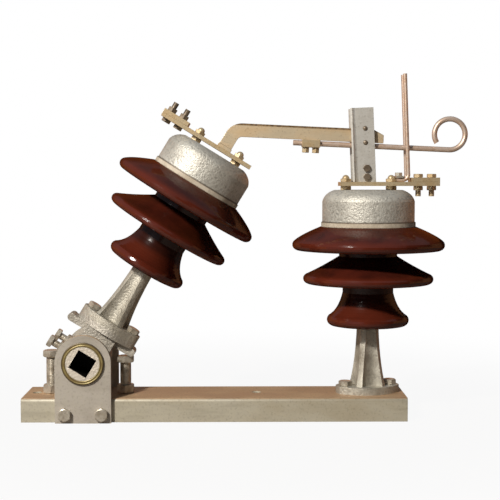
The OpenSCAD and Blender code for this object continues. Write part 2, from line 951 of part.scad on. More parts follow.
// Plan of the front jaw plate, with its entry edge curled outwards
module jaw_outline() {
    straight = jaw_width / 2;
    middle_y = -(plate_inner + jaw_thickness + curl_radius);
    outside = curl_radius + jaw_thickness;
    translate([-straight + outside, -plate_inner - jaw_thickness])
        square([jaw_width - outside, jaw_thickness]);
    translate([-straight + outside, middle_y])
        intersection() {
            difference() {
                circle(r = outside);
                circle(r = curl_radius);
            }
            polygon([
                [0, 0],
                [0, 2 * outside],
                [-2 * outside * tan(curl_turn / 2), 2 * outside],
                [-2 * outside * sin(curl_turn), 2 * outside * cos(curl_turn)]
            ]);
        }
}

module jaw_bolt_row(d, length) {
    for (row = [0, 1])
        translate([jaw_bolt_offset, 0, jaw_bolt_rise + row * jaw_bolt_spacing])
            rotate([90, 0, 0])
                cylinder(d = d, h = length, center = true);
}

module jaw_plate() {
    room = jaw_gap + 2 * jaw_thickness + 2 * overrun;
    on_jaw()
        difference() {
            rotate([0, -jaw_lean, 0])
                translate([0, 0, -jaw_thickness])
                    linear_extrude(jaw_height + jaw_thickness)
                        jaw_outline();
            translate([-jaw_width, -jaw_width, -2 * jaw_thickness])
                cube([2 * jaw_width, 2 * jaw_width, 2 * jaw_thickness]);
            jaw_bolt_row(jaw_bolt_d, room);
        }
}

module front_jaw_plate() {
    color(galvanised)
        jaw_plate();
}

module back_jaw_plate() {
    color(galvanised)
        mirror([0, 1, 0])
            jaw_plate();
}

module jaw_block() {
    color(brass_yellow)
        on_jaw()
            difference() {
                translate([-block_width / 2, -plate_inner, 0])
                    cube([block_width, jaw_gap, block_height]);
                jaw_bolt_row(jaw_bolt_d, jaw_gap + 2 * overrun);
            }
}

module jaw_bolts() {
    face = plate_inner + jaw_thickness;
    color(brass_yellow)
        on_jaw() {
            jaw_bolt_row(jaw_bolt_d, 2 * face);
            for (row = [0, 1], side = [0, 1])
                mirror([0, side, 0])
                    translate([jaw_bolt_offset, -face, jaw_bolt_rise + row * jaw_bolt_spacing])
                        rotate([90, 0, 0])
                            rotate([0, 0, 90])
                                hexagon(jaw_bolt_flats, jaw_bolt_head);
        }
}

module contact_strip() {
    on_jaw()
        rotate([0, -jaw_lean, 0])
            translate([-strip_width / 2, -plate_inner, strip_rise])
                cube([strip_width, plate_inner - strip_inner, strip_height]);
}

module front_contact_strip() {
    color(brass_yellow)
        contact_strip();
}

module back_contact_strip() {
    color(brass_yellow)
        mirror([0, 1, 0])
            contact_strip();
}

// One horn: foot on the bar, bend and leaning upright
module horn() {
    bend_angle = 90 + horn_lean;
    translate([horn_place - horn_bend, -horn_offset, bar_top + horn_d / 2]) {
        rotate([0, -90, 0])
            cylinder(d = horn_d, h = horn_foot);
        translate([0, 0, horn_bend]) {
            rotate([90, 0, 0])
                rotate([0, 0, -90])
                    rotate_extrude(angle = bend_angle)
                        translate([horn_bend, 0])
                            circle(d = horn_d);
            rotate([0, -horn_lean, 0])
                translate([horn_bend, 0, 0])
                    shaft(horn_d - horn_step, -horn_step, horn_height - horn_bend - horn_d / 2);
        }
    }
}

module fixed_arcing_horns() {
    color(rod_pink)
        on_fixed() {
            horn();
            mirror([0, 1, 0])
                horn();
        }
}

module horn_plate() {
    color(zinc_grey)
        on_fixed()
            translate([horn_bolt_place, 0, 0]) {
                translate([-horn_plate_length / 2, -horn_plate_width / 2, horn_seat])
                    cube([horn_plate_length, horn_plate_width, horn_plate_thickness]);
                shaft(horn_bolt_d, bar_bottom, horn_seat + horn_plate_thickness);
                translate([0, 0, horn_seat + horn_plate_thickness])
                    hexagon(horn_bolt_flats, horn_bolt_head);
            }
}

// Side outline of one ear, from the bracket's middle to its nose
module ear_outline() {
    translate([nose_reach, nose_rise])
        circle(r = nose_radius);
    polygon([
        [0, nose_under],
        [nose_reach, nose_under],
        [nose_reach + nose_radius * cos(ear_top_angle), nose_rise + nose_radius * sin(ear_top_angle)],
        [ear_root, table_under],
        [0, table_under]
    ]);
}

// Set screw places: along minus X from the bearing axis
module at_set_screws() {
    for (side = [-1, 1])
        translate([0, side * set_screw_offset, 0])
            rotate([0, -90, 0])
                children();
}

module tilt_bracket() {
    color(cast_grey)
        tilted()
            difference() {
                union() {
                    rotate([90, 0, 0])
                        cylinder(d = boss_d, h = boss_length, center = true);
                    rotate([90, 0, 0])
                        cylinder(d = journal_d, h = journal_span, center = true);
                    for (side = [0, 1])
                        mirror([side, 0, 0])
                            rotate([90, 0, 0])
                                linear_extrude(ear_depth, center = true)
                                    ear_outline();
                    translate([-neck_width / 2, -neck_depth / 2, 0])
                        cube([neck_width, neck_depth, table_under]);
                    translate([table_offset, 0, table_under])
                        rotate([0, 0, moving_turn])
                            linear_extrude(table_thickness)
                                foot_outline();
                    at_set_screws()
                        shaft(set_pad_d, socket_side / 2, set_pad_reach);
                }
                for (side = [0, 1])
                    mirror([0, side, 0])
                        translate([-socket_side / 2, socket_wall / 2, -socket_side / 2])
                            cube([socket_side, (journal_span - socket_wall) / 2 + overrun, socket_side]);
                translate([table_offset, 0, table_rise])
                    rotate([0, 0, moving_turn])
                        pair(foot_bolt_spacing)
                            shaft(foot_bolt_d, -foot_bolt_depth, overrun);
                at_set_screws()
                    shaft(set_screw_d, socket_side / 2 + set_screw_land, set_screw_reach);
            }
}

module shaft_set_screws() {
    color(zinc_grey)
        tilted()
            at_set_screws() {
                shaft(set_screw_d, socket_side / 2 + set_screw_land, set_screw_reach);
                translate([0, 0, set_pad_reach])
                    hexagon(set_screw_flats, set_screw_nut);
                translate([0, 0, set_screw_reach - set_screw_head])
                    hexagon(set_screw_flats, set_screw_head);
            }
}

module moving_pedestal() {
    color(cast_grey)
        on_moving()
            rotate([0, 0, moving_turn])
                pedestal();
}

module moving_pedestal_bolts() {
    color(zinc_grey)
        on_moving()
            rotate([0, 0, moving_turn])
                pair(foot_bolt_spacing) {
                    shaft(foot_bolt_d, -foot_bolt_depth, foot_thickness);
                    translate([0, 0, foot_thickness])
                        hexagon(foot_bolt_flats, foot_bolt_head);
                }
}

module moving_insulator() {
    color(glaze_brown)
        on_moving()
            porcelain();
}

module moving_cement_ring() {
    color(cement_beige)
        on_moving()
            cement_ring();
}

module moving_cap() {
    color(cast_grey)
        on_moving()
            cap();
}

module moving_terminal_bar() {
    color(brass_yellow)
        on_moving()
            mirror([1, 0, 0])
                terminal_bar(moving_bar_inner, moving_bar_outer);
}

module moving_terminal_studs() {
    color(brass_yellow)
        on_moving()
            terminal_studs();
}

module moving_terminal_clamp() {
    color(brass_yellow)
        on_moving()
            mirror([1, 0, 0])
                terminal_clamp(moving_bar_outer);
}

module moving_clamp_bolts() {
    color(brass_yellow)
        on_moving()
            mirror([1, 0, 0])
                bolts_from_below(moving_bar_outer);
}

// A point of the blade's outline: along the blade from its bend, and across it
function on_outline(along, across) = [
    along * cos(blade_angle) - across * sin(blade_angle),
    leg_rise + along * sin(blade_angle) + across * cos(blade_angle)
];

// Side outline of the blade: leg, rounded bend and bar with the slope at its tip
module blade_outline() {
    half = blade_height / 2;
    middle_z = leg_rise - bend_tangent;
    polygon(concat(
        [[-half, 0]],
        rim(blade_bend, middle_z, blade_bend + half, 180, 180 - blade_turn),
        [
            on_outline(blade_length - tip_slope[0], half),
            on_outline(blade_length, half - tip_slope[1]),
            on_outline(blade_length, -half)
        ],
        rim(blade_bend, middle_z, blade_bend - half, 180 - blade_turn, 180),
        [[half, 0]]
    ));
}

module contact_blade() {
    color(brass_yellow)
        on_moving()
            translate([leg_offset, 0, bar_top]) {
                rotate([90, 0, 0])
                    linear_extrude(blade_thickness, center = true)
                        blade_outline();
                translate([-leg_foot_length / 2, -leg_foot_width / 2, 0])
                    cube([leg_foot_length, leg_foot_width, leg_foot_thickness]);
            }
}

module rod_clamp() {
    color(brass_yellow)
        on_blade()
            difference() {
                translate([rod_clamp_start, -rod_clamp_width / 2, rod_under - rod_clamp_drop])
                    cube([rod_clamp_length, rod_clamp_width, rod_clamp_drop]);
                translate([rod_clamp_start - overrun, 0, -rod_drop])
                    rotate([0, 90, 0])
                        cylinder(d = rod_d, h = rod_clamp_length + 2 * overrun);
                translate([rod_clamp_start - overrun, -rod_d / 2, -rod_drop])
                    cube([rod_clamp_length + 2 * overrun, rod_d, rod_drop]);
            }
}

module rod_clamp_screws() {
    color(brass_yellow)
        on_blade()
            translate([rod_clamp_start + rod_clamp_length / 2, 0,
                rod_under - rod_clamp_drop - rod_screw_head])
                pair(rod_screw_spacing)
                    hexagon(rod_screw_flats, rod_screw_head);
}

module moving_arcing_rod() {
    color(rod_pink)
        on_blade()
            translate([0, 0, -rod_drop]) {
                translate([rod_start, 0, 0])
                    rotate([0, 90, 0])
                        cylinder(d = rod_d, h = ring_place - rod_start);
                translate([ring_place, 0, ring_radius])
                    rotate([90, 0, 0])
                        rotate([0, 0, -90])
                            rotate_extrude(angle = ring_turn)
                                translate([ring_radius, 0])
                                    circle(d = rod_d);
            }
}

base_channel();
front_bearing_plate();
back_bearing_plate();
front_bearing_bush();
back_bearing_bush();
bearing_plate_bolts();
closed_stop_bolt();
open_stop_bolt();
fixed_pedestal();
fixed_pedestal_bolts();
fixed_insulator();
fixed_cement_ring();
fixed_cap();
fixed_terminal_bar();
fixed_terminal_studs();
fixed_terminal_clamp();
fixed_clamp_bolts();
front_jaw_plate();
back_jaw_plate();
jaw_block();
jaw_bolts();
front_contact_strip();
back_contact_strip();
fixed_arcing_horns();
horn_plate();
tilt_bracket();
shaft_set_screws();
moving_pedestal();
moving_pedestal_bolts();
moving_insulator();
moving_cement_ring();
moving_cap();
moving_terminal_bar();
moving_terminal_studs();
moving_terminal_clamp();
moving_clamp_bolts();
contact_blade();
rod_clamp();
rod_clamp_screws();
moving_arcing_rod();
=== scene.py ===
import json
import math

import bmesh
import bpy
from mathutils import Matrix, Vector


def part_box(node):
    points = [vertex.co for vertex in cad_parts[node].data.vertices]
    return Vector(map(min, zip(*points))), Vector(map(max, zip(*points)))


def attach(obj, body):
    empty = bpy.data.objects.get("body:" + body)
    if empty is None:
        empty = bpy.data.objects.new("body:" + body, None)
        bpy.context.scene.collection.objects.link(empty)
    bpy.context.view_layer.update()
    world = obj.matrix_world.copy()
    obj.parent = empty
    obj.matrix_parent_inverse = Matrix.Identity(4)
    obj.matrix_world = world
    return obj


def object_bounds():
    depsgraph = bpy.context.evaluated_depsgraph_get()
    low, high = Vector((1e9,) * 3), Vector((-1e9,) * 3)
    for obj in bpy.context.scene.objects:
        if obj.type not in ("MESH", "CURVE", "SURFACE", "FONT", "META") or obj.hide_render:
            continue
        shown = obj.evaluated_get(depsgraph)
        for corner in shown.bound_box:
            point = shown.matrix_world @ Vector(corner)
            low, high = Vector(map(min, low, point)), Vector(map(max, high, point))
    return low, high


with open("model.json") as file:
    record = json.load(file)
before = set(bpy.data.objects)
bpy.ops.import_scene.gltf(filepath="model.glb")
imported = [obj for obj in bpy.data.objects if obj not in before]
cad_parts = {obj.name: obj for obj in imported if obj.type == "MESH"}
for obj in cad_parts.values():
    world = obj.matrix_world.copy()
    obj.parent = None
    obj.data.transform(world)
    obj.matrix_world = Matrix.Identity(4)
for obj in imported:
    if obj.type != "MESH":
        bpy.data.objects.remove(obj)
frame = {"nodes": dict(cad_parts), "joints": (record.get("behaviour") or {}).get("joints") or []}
nodes = frame["nodes"]
cad_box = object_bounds()

# Corners of a solid that lie closer than this are one, in metres
MERGE = 1e-5


def middle(node):
    low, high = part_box(node)
    return (low + high) / 2


def solids_of(node):
    """Corner points of each separate solid in a node."""
    grid = bmesh.new()
    grid.from_mesh(nodes[node].data)
    bmesh.ops.remove_doubles(grid, verts=grid.verts, dist=MERGE)
    waiting = set(grid.verts)
    solids = []
    while waiting:
        front = [waiting.pop()]
        points = []
        while front:
            corner = front.pop()
            points.append(corner.co.copy())
            near = {edge.other_vert(corner) for edge in corner.link_edges} & waiting
            waiting -= near
            front.extend(near)
        solids.append(points)
    grid.free()
    return sorted(solids, key=lambda points: [round(part, 4) for part in min(points, key=tuple)])


def lean_of(node):
    """Lean of the line through a node's two like solids, from level towards X and down."""
    first, second = [sum(points, Vector()) / len(points) for points in solids_of(node)]
    return math.atan2(first.z - second.z, second.x - first.x)


# Axes of the two insulators: the cement rings lie on them
LEAN = lean_of("moving_terminal_studs")
UPRIGHT = Vector((0.0, 0.0, 1.0))
LEANING = Vector((math.sin(LEAN), 0.0, math.cos(LEAN)))
ACROSS_LEANING = Vector((-math.cos(LEAN), 0.0, math.sin(LEAN)))
FIXED_RING = middle("fixed_cement_ring")
MOVING_RING = middle("moving_cement_ring")
PIVOT = Vector(frame["joints"][0]["pos_m"])

# Places of the camera, in metres, for a square picture
EYE = Vector((FIXED_RING.x - 0.2000, -1.725, 0.355))
AIM = Vector((FIXED_RING.x - 0.1775, 0.0, 0.250))
FIELD_OF_VIEW = math.radians(24.5)

# Bodies of the frame
BASE = "base"
TILTING = "tilting_column"


def tone(red, green, blue):
    """A colour as a screen shows it, 0 to 255, in the linear values that a shader takes."""
    def linear(value):
        share = value / 255.0
        return share / 12.92 if share <= 0.04045 else ((share + 0.055) / 1.055) ** 2.4
    return (linear(red), linear(green), linear(blue), 1.0)


class Surface:
    """A procedural material on the object's own coordinates, in metres."""

    def __init__(self, name):
        self.material = bpy.data.materials.new(name)
        self.material.use_nodes = True
        self.tree = self.material.node_tree
        self.shader = self.tree.nodes["Principled BSDF"]
        self.coordinates = self.add("ShaderNodeTexCoord")
        self.place = self.coordinates.outputs["Object"]

    def add(self, kind, **settings):
        node = self.tree.nodes.new(kind)
        for key, value in settings.items():
            setattr(node, key, value)
        return node

    def link(self, source, socket):
        self.tree.links.new(source, socket)

    def set(self, **values):
        for key, value in values.items():
            self.shader.inputs[key.replace("_", " ")].default_value = value

    def noise(self, size, detail=4.0, roughness=0.55, stretch=(1.0, 1.0, 1.0)):
        """Cloudy noise with lumps of that size in metres, drawn out by stretch."""
        spread = self.add("ShaderNodeMapping")
        spread.inputs["Scale"].default_value = [1.0 / part for part in stretch]
        self.link(self.place, spread.inputs["Vector"])
        node = self.add("ShaderNodeTexNoise")
        node.inputs["Scale"].default_value = 1.0 / size
        node.inputs["Detail"].default_value = detail
        node.inputs["Roughness"].default_value = roughness
        self.link(spread.outputs["Vector"], node.inputs["Vector"])
        return node.outputs["Fac"]

    def cells(self, size):
        """Crystals of that size in metres, each with a value of its own."""
        node = self.add("ShaderNodeTexVoronoi")
        node.inputs["Scale"].default_value = 1.0 / size
        self.link(self.place, node.inputs["Vector"])
        grey = self.add("ShaderNodeSeparateColor")
        self.link(node.outputs["Color"], grey.inputs["Color"])
        return grey.outputs["Red"]

    def math(self, operation, first, second=0.0):
        node = self.add("ShaderNodeMath", operation=operation)
        for socket, value in zip(node.inputs, (first, second)):
            if isinstance(value, (int, float)):
                socket.default_value = value
            else:
                self.link(value, socket)
        return node.outputs["Value"]

    def fade(self, value, low, high, first=0.0, last=1.0):
        """A smooth step from first to last while value goes from low to high."""
        node = self.add("ShaderNodeMapRange", interpolation_type="SMOOTHSTEP")
        for name, number in zip(("From Min", "From Max", "To Min", "To Max"), (low, high, first, last)):
            node.inputs[name].default_value = number
        self.link(value, node.inputs["Value"])
        return node.outputs["Result"]

    def mix(self, share, first, second):
        """Two colours, each a tone or a socket, mixed by share."""
        node = self.add("ShaderNodeMix", data_type="RGBA")
        self.link(share, node.inputs["Factor"])
        colours = [socket for socket in node.inputs if socket.type == "RGBA"]
        for socket, colour in zip(colours, (first, second)):
            if isinstance(colour, tuple):
                socket.default_value = colour
            else:
                self.link(colour, socket)
        return [socket for socket in node.outputs if socket.type == "RGBA"][0]

    def colour(self, socket):
        self.link(socket, self.shader.inputs["Base Color"])

    def roughness(self, socket):
        self.link(socket, self.shader.inputs["Roughness"])

    def bump(self, *layers):
        """Relief made of (height socket, depth in metres) pairs, one over the other."""
        below = None
        for height, depth in layers:
            node = self.add("ShaderNodeBump")
            node.inputs["Distance"].default_value = depth
            self.link(height, node.inputs["Height"])
            if below:
                self.link(below, node.inputs["Normal"])
            below = node.outputs["Normal"]
        self.link(below, self.shader.inputs["Normal"])

    def axes(self, vector):
        split = self.add("ShaderNodeSeparateXYZ")
        self.link(vector, split.inputs["Vector"])
        return split.outputs

    def facing(self, axis, low, high):
        """From 0 to 1 as the piece's own normal turns along that axis, X, Y or Z."""
        return self.fade(self.axes(self.coordinates.outputs["Normal"])[axis], low, high)

    def along(self, place, turn):
        """Coordinates that start at place, with Z leaning from upright by turn towards X."""
        frame_of = self.add("ShaderNodeMapping", vector_type="TEXTURE")
        frame_of.inputs["Location"].default_value = place
        frame_of.inputs["Rotation"].default_value = (0.0, turn, 0.0)
        self.link(self.place, frame_of.inputs["Vector"])
        return self.axes(frame_of.outputs["Vector"])

    def length(self, first, second):
        """Distance from the place where both values are zero."""
        squares = [self.math("POWER", value, 2.0) for value in (first, second)]
        return self.math("SQRT", self.math("ADD", *squares))


def galvanised_steel(name, body, stain, top_tone, streak_share):
    """Dipped plate and channel: faint spangle, soft stains, and a browner, speckled tone on what faces up.
    """
    surface = Surface(name)
    surface.set(Metallic=0.12, IOR=1.45)
    spangle = surface.cells(0.005)
    clouds = surface.noise(0.05, detail=5.0, stretch=(2.2, 1.0, 1.0))
    streaks = surface.noise(0.012, detail=3.0, stretch=(7.0, 1.0, 1.0))
    grain = surface.noise(0.0035, detail=3.0)
    pale = surface.mix(surface.fade(spangle, 0.0, 1.0, 0.0, 0.4), body, tone(188, 181, 164))
    stained = surface.mix(surface.fade(clouds, 0.42, 0.72, 0.0, 0.75), pale, stain)
    rolled = surface.mix(surface.fade(streaks, 0.48, 0.72, 0.0, streak_share), stained, tone(140, 132, 112))
    mottled = surface.mix(surface.fade(grain, 0.52, 0.7, 0.0, 0.3), rolled, tone(128, 118, 100))
    top_clouded = surface.mix(surface.fade(clouds, 0.4, 0.62), top_tone, tone(196, 163, 126))
    speckled = surface.mix(surface.fade(grain, 0.52, 0.7, 0.0, 0.35), top_clouded, tone(112, 88, 64))
    # Faces that turn up take the browner top tone
    surface.colour(surface.mix(surface.facing("Z", 0.6, 0.95), mottled, speckled))
    surface.roughness(surface.fade(clouds, 0.3, 0.75, 0.45, 0.6))
    surface.bump((clouds, 0.0004), (grain, 0.0002))
    return surface.material


def casting_skin(surface, light, dull):
    """Dipped casting: light grey zinc over a finely hammered skin, darker in its pits."""
    surface.set(Metallic=0.42, IOR=1.45)
    lumps = surface.noise(0.0032, detail=3.0)
    grain = surface.noise(0.0018, detail=3.0)
    clouds = surface.noise(0.04, detail=4.0)
    zinc = surface.mix(surface.fade(clouds, 0.35, 0.7), light, dull)
    pitted = surface.mix(surface.fade(lumps, 0.34, 0.48, 0.34, 0.0), zinc, tone(104, 99, 90))
    surface.roughness(surface.fade(lumps, 0.3, 0.7, 0.44, 0.58))
    surface.bump((lumps, 0.001), (grain, 0.0004))
    return surface.mix(surface.fade(grain, 0.6, 0.74, 0.0, 0.2), pitted, tone(212, 207, 193))


def cast_cap(name, ring, turn):
    """The casting of a cap, with painted shade along the edge that meets the cement."""
    surface = Surface(name)
    skin = casting_skin(surface, tone(206, 203, 192), tone(184, 180, 169))
    half_ring = (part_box("fixed_cement_ring")[1].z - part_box("fixed_cement_ring")[0].z) / 2
    above = surface.math("SUBTRACT", surface.along(ring, turn)["Z"], half_ring)
    # Painted shade: a dark band on the cap's lower edge, where the gap to the cement falls into shadow
    surface.colour(surface.mix(surface.fade(above, 0.0006, 0.0024, 0.8, 0.0), skin, tone(88, 78, 64)))
    return surface.material


def weathered_shaded_pedestal():
    surface = Surface("weathered_shaded_pedestal")
    # A darker copy of the caps' casting skin: painted shade for pedestals under the porcelain, with more
    # weathering as well
    surface.colour(casting_skin(surface, tone(190, 185, 171), tone(152, 145, 130)))
    return surface.material


def tilting_casting():
    """The casting of the bracket, turned bright on the ends of its journals, with painted shade, near black,
    in its socket.
    """
    surface = Surface("tilting_casting")
    skin = casting_skin(surface, tone(190, 184, 172), tone(152, 145, 132))
    axes = surface.along(PIVOT, LEAN)
    from_axis = surface.length(axes["X"], axes["Z"])
    aside = surface.math("ABSOLUTE", axes["Y"])
    journal_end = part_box("tilt_bracket")[1].y
    face_radius, face_edge = 0.0238, 0.0248
    socket_reach, socket_edge = 0.0215, 0.0222
    at_face = surface.fade(aside, journal_end - 0.0012, journal_end - 0.0006)
    turned = surface.math("MULTIPLY", at_face, surface.fade(from_axis, face_radius, face_edge, 1.0, 0.0))
    behind_face = surface.fade(aside, journal_end - 0.0008, journal_end - 0.0002, 1.0, 0.0)
    # Painted shade: the socket's inside is painted near black, standing in for the shade inside the hole
    socket = surface.math("MULTIPLY", behind_face,
                          surface.fade(from_axis, socket_reach, socket_edge, 1.0, 0.0))
    bright = surface.mix(turned, skin, tone(214, 204, 188))
    surface.colour(surface.mix(socket, bright, tone(16, 11, 9)))
    return surface.material


def bush_metal():
    """Olive brass bush, with the rings that turning and wear have left on its face."""
    surface = Surface("bush_metal")
    surface.set(Metallic=0.3, IOR=1.45)
    axes = surface.along(PIVOT, LEAN)
    from_axis = surface.length(axes["X"], axes["Z"])
    ring_pitch = 0.0032
    clouds = surface.noise(0.012, detail=4.0)
    rings = surface.math("SINE", surface.math("MULTIPLY", from_axis, 2 * math.pi / ring_pitch))
    aged = surface.mix(surface.fade(clouds, 0.35, 0.7), tone(158, 142, 92), tone(128, 108, 64))
    ringed = surface.mix(surface.fade(rings, 0.35, 0.95, 0.0, 0.7), aged, tone(66, 48, 24))
    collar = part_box("front_bearing_bush")
    outer = (collar[1].x - collar[0].x) / 2
    # Painted shade: a dark line round the collar's outer rim, where it stands off the plate
    at_rim = surface.fade(from_axis, outer - 0.0012, outer - 0.0004)
    surface.colour(surface.mix(at_rim, ringed, tone(58, 44, 28)))
    surface.roughness(surface.fade(clouds, 0.3, 0.7, 0.3, 0.48))
    surface.bump((rings, 0.0002), (clouds, 0.0002))
    return surface.material


def brown_porcelain(name, ring, turn, rims):
    """Brown glaze, thinner over the rims, with painted shade in the necks.

    rims holds each shed's radius and its height above the ring.
    """
    rim_reach = 0.014
    neck_radius, neck_end = 0.040, 0.058
    surface = Surface(name)
    surface.set(IOR=1.5, Sheen_Weight=0.9, Sheen_Roughness=0.32, Sheen_Tint=tone(238, 124, 58))
    clouds = surface.noise(0.03, detail=3.0)
    ripple = surface.noise(0.014, detail=2.0)
    axes = surface.along(ring, turn)
    radius = surface.length(axes["X"], axes["Y"])
    near = 0.0
    for rim_radius, rim_height in rims:
        out = surface.math("SUBTRACT", radius, rim_radius)
        up = surface.math("SUBTRACT", axes["Z"], rim_height)
        thin = surface.fade(surface.length(out, up), 0.001, rim_reach, 0.5, 0.0)
        near = surface.math("MAXIMUM", near, thin)
    # Painted shade: the necks get a darker glaze colour and a weaker mirror, and are also rougher
    in_neck = surface.fade(radius, neck_radius, neck_end, 1.0, 0.0)
    deep = surface.mix(surface.fade(clouds, 0.3, 0.7), tone(84, 33, 23), tone(62, 24, 18))
    neck_shaded = surface.mix(in_neck, deep, tone(50, 22, 16))
    surface.colour(surface.mix(near, neck_shaded, tone(108, 44, 26)))
    glossy = surface.fade(clouds, 0.3, 0.7, 0.09, 0.14)
    surface.roughness(surface.math("ADD", glossy, surface.math("MULTIPLY", in_neck, 0.08)))
    mirror = surface.math("SUBTRACT", 0.45, surface.math("MULTIPLY", in_neck, 0.15))
    surface.link(mirror, surface.shader.inputs["Specular IOR Level"])
    surface.bump((ripple, 0.0003))
    return surface.material


def cement(name, ring, turn):
    """Sandy joint between porcelain and cap, with painted shade where it meets them."""
    surface = Surface(name)
    surface.set(IOR=1.4)
    grit = surface.noise(0.0015, detail=4.0)
    clouds = surface.noise(0.02, detail=4.0)
    sand = surface.mix(surface.fade(clouds, 0.3, 0.7), tone(220, 208, 188), tone(192, 178, 156))
    gritty = surface.mix(surface.fade(grit, 0.55, 0.75, 0.0, 0.5), sand, tone(130, 114, 94))
    aside = surface.math("ABSOLUTE", surface.along(ring, turn)["Z"])
    # Painted shade: darker along both edges of the ring, where it meets cap and porcelain
    surface.colour(surface.mix(surface.fade(aside, 0.0022, 0.0034, 0.0, 0.75), gritty, tone(104, 84, 64)))
    surface.roughness(surface.fade(grit, 0.3, 0.7, 0.8, 0.95))
    surface.bump((clouds, 0.0008), (grit, 0.0005))
    return surface.material


def worn_metal(name, bright, dull, dark, metallic, smooth, rough, speck_share):
    """Handled metal: a bright face that has gone dull in clouds, with dark specks and fine scratches."""
    surface = Surface(name)
    surface.set(Metallic=metallic, IOR=1.45)
    clouds = surface.noise(0.012, detail=5.0)
    specks = surface.noise(0.003, detail=3.0)
    scratches = surface.noise(0.0012, detail=2.0, stretch=(12.0, 1.0, 1.0))
    aged = surface.mix(surface.fade(clouds, 0.35, 0.68), bright, dull)
    surface.colour(surface.mix(surface.fade(specks, 0.58, 0.74, 0.0, speck_share), aged, dark))
    surface.roughness(surface.fade(clouds, 0.3, 0.7, smooth, rough))
    surface.bump((scratches, 0.0001), (specks, 0.00012))
    return surface.material


def blade_brass():
    """The blade's brass, darker along the edge that faces up."""
    surface = Surface("blade_brass")
    surface.set(Metallic=0.45, IOR=1.45)
    clouds = surface.noise(0.016, detail=5.0, stretch=(3.0, 1.0, 1.0))
    specks = surface.noise(0.003, detail=3.0)
    aged = surface.mix(surface.fade(clouds, 0.35, 0.68), tone(228, 210, 178), tone(203, 178, 141))
    specked = surface.mix(surface.fade(specks, 0.58, 0.74, 0.0, 0.4), aged, tone(104, 78, 48))
    top_edge_tone = surface.mix(surface.fade(specks, 0.35, 0.6), tone(96, 72, 46), tone(150, 122, 84))
    outline = [vertex.co for vertex in nodes["contact_blade"].data.vertices]
    bend = max(outline, key=lambda point: point.z)
    tip_lean = 0.3
    tip = max(outline, key=lambda point: tip_lean * point.x + point.z)
    slope = (tip.z - bend.z) / (tip.x - bend.x)
    axes = surface.axes(surface.place)
    level = surface.math("SUBTRACT", axes["Z"], surface.math("MULTIPLY", axes["X"], slope))
    top = bend.z - slope * bend.x
    top_edge_depth, top_edge_fade = 0.0036, 0.0022
    edge = surface.fade(level, top - top_edge_depth, top - top_edge_fade)
    # Darker along the top edge and on faces that turn up
    surface.colour(surface.mix(surface.math("MAXIMUM", edge, surface.facing("Z", 0.15, 0.5)), specked, top_edge_tone))
    surface.roughness(surface.fade(clouds, 0.3, 0.7, 0.3, 0.48))
    surface.bump((clouds, 0.0002), (specks, 0.00012))
    return surface.material


def insulator_rims(node, ring, axis):
    """Radius and height above the ring of the three shed rims, read off the insulator's own outline."""
    outline = {}
    for vertex in nodes[node].data.vertices:
        point = vertex.co - ring
        height = point.dot(axis)
        level = round(height, 4)
        outline[level] = max((point - axis * height).length, outline.get(level, 0.0))
    levels = sorted(outline)
    return [(outline[level], level) for before, level, after in zip(levels, levels[1:], levels[2:])
            if outline[before] < outline[level] >= outline[after]]


def paint(material, *names):
    for name in names:
        nodes[name].data.materials.clear()
        nodes[name].data.materials.append(material)


def soften(width, *names):
    """Takes the sharp edges off rolled, sawn and cast pieces."""
    for name in names:
        solid = nodes[name]
        weld = solid.modifiers.new("weld", "WELD")
        weld.merge_threshold = MERGE
        flat = solid.modifiers.new("flat", "DECIMATE")
        flat.decimate_type = "DISSOLVE"
        flat.angle_limit = math.radians(0.5)
        edge = solid.modifiers.new("edge", "BEVEL")
        edge.width = width
        edge.segments = 2
        edge.limit_method = "ANGLE"
        edge.angle_limit = math.radians(50.0)
        edge.harden_normals = True


